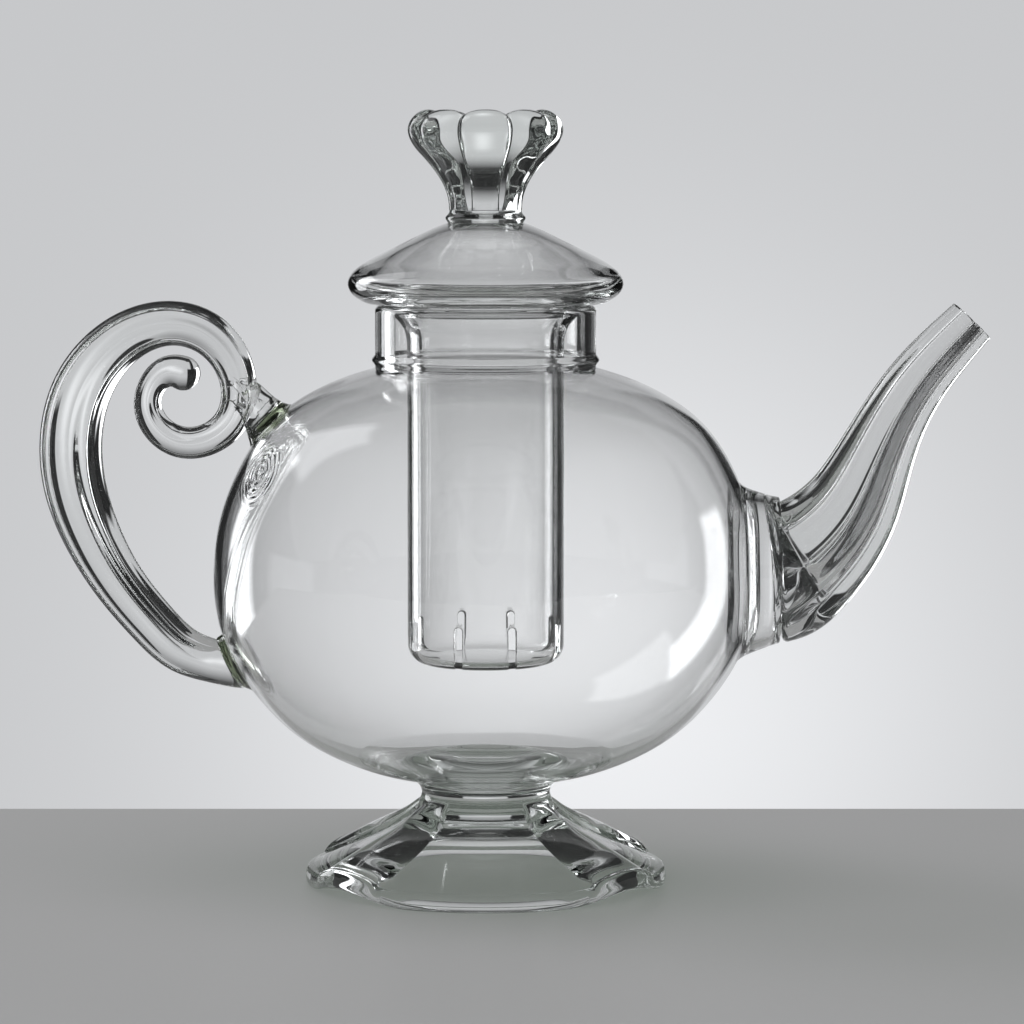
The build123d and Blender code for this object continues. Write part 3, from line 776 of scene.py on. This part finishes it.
def lid():
    """The hollow dome with its rolled rim and the flat floor under it, in one piece."""
    dome = smooth(((0, 187.6), (9, 186.6), (21, 181.5), (33, 175.4), (37.2, 172.2), (38.6, 169.3),
                   (37.9, 166.9), (35.2, 164.6), (32.3, 163.7), (30.9, 164.4)), start=(1, 0), step=0.6)
    edge, seat, floor_top = 30.7, 166.0, 168.4
    gallery = turned("lid_gallery")[0] - LAP
    under = [(edge, 165.0), (edge, seat), (27.5, seat), (gallery, seat), (gallery, floor_top),
             (27.5, floor_top), (edge, floor_top)]
    inner = smooth(((31.6, 168.0), (33.4, 167.5), (35.6, 168.3), (36.3, 169.6), (35.2, 171.2),
                    (31.9, 173.4), (20.1, 179.5), (8.5, 184.4), (0, 185.4)), end=(-1, 0), step=0.6)
    return turn("glass_lid", joined(dome, under, inner))


def lid_gallery():
    """The ring under the lid that drops into the infuser's mouth."""
    outside, low, high = turned("lid_gallery")
    half = 1.1
    foot_end = arc((outside - half, low + half), half, 0, -180, 12)
    head_end = arc((outside - half, high - half), half, 180, 0, 12)
    heights = np.linspace(low + half, high - half, 8)
    bore = [(outside - 2 * half, z) for z in heights]
    side = [(outside, z) for z in heights[::-1]]
    return turn("glass_lid_gallery", joined(foot_end, bore, head_end, side)[:-1])


def lid_knob():
    """A flower: a fluted stalk that opens into eight rounded petals round a shallow crater."""
    stations = smooth(((10.2, 189.6, 0.10, 0), (10.4, 192.4, 0.13, 0), (12.4, 197.8, 0.16, 0),
                       (16.6, 203.4, 0.17, 0), (20.6, 208.4, 0.17, 0), (21.7, 212.4, 0.17, 0.2),
                       (20.0, 215.8, 0.16, 0.8), (17.0, 217.5, 0.14, 1.5), (14.2, 217.4, 0.12, 1.5),
                       (11.2, 215.8, 0.08, 0.8), (7.0, 214.3, 0.02, 0.2), (0.3, 213.7, 0, 0)), step=0.5)
    angles = circle(SEGMENTS)
    turned_by = angles + math.pi / 2 + math.pi / LOBES
    groove = 1 - lobed(turned_by, 1.0)
    rings = []
    for size, height, depth, droop in stations:
        rings.append(level(size * lobed(turned_by, 0.7 * depth, 3.0), height - droop * groove, angles))
    return skin("glass_lid_knob", rings, sharp=None)


def lid_knob_weld():
    """The bead of glass between the knob and the dome."""
    top, bottom = 189.6 + LAP, 186.1 - LAP
    outline = smooth(((10.0, top), (10.3, 188.8), (11.2, 187.6), (10.4, bottom)), step=0.3)
    floor = [(r, bottom + 0.06 * (10.4 - r)) for r in (9, 6, 3, 0)]
    return turn("glass_lid_knob_weld", joined([(0, top)], outline, floor), sharp=50)


# ---------------------------------------------------------------- putting it together

camera()
studio()
table()
lamps()

WORKED = (((-61, -29, 118), 0, 12, 1.0e-4), ((-70.5, 0, 62), 9, 18, 5e-5))
clear = glass("clear_glass_blown")
blown = glass("clear_glass_worked", marks=WORKED)
fluted = glass("fluted_glass_drawn", wave=0.12)
solder = glass("weld_glass_grey_green", wave=0.3, tint=(0.50, 0.60, 0.35), density=120.0)

# Each stub's line in the middle plane, from the rod to the bowl: x and z of both ends.
UPPER_STUB = ((-69, 138.2), (-58, 127))
LOWER_STUB = ((-77.6, 62.6), (-64, 62))
STUB_RADIUS, WELD_RADIUS = 6.6, 7.2

place(vessel(), "vessel", "clear_glass", blown, "bowl", "bowl_base_pad", "stem", "foot")
place(neck_collar(), "vessel", "clear_glass", clear, "neck_collar")
place(collar_bead(), "vessel", "clear_glass", clear, "collar_bead")
place(spout_root(), "vessel", "clear_glass", clear, "spout_root")
place(spout(), "vessel", "fluted_glass", fluted, "spout")
place(handle(), "vessel", "fluted_glass", fluted, "handle_rod", "handle_scroll_tip", "handle_lower_stub")
place(bar("glass_handle_upper_stub", *UPPER_STUB, STUB_RADIUS), "vessel", "clear_glass", clear,
      "handle_upper_stub")
place(weld("glass_handle_upper_weld", *UPPER_STUB, WELD_RADIUS), "vessel", "weld_glass", solder,
      "handle_upper_weld")
place(weld("glass_handle_lower_weld", *LOWER_STUB, WELD_RADIUS), "vessel", "weld_glass", solder,
      "handle_lower_weld")
place(infuser_tube(), "infuser", "clear_glass", clear, "infuser_tube")
place(infuser_flange(), "infuser", "clear_glass", clear, "infuser_flange")
place(lid(), "lid", "clear_glass", clear, "lid_dome", "lid_rim", "lid_underside")
place(lid_gallery(), "lid", "clear_glass", clear, "lid_gallery")
place(lid_knob(), "lid", "fluted_glass", fluted, "lid_knob")
place(lid_knob_weld(), "lid", "clear_glass", clear, "lid_knob_weld")

scene = bpy.context.scene
scene.view_settings.view_transform = "Standard"
scene.cycles.max_bounces = 28
scene.cycles.transmission_bounces = 28
scene.cycles.glossy_bounces = 12
scene.cycles.transparent_max_bounces = 40
scene.cycles.caustics_reflective = False
scene.cycles.caustics_refractive = False
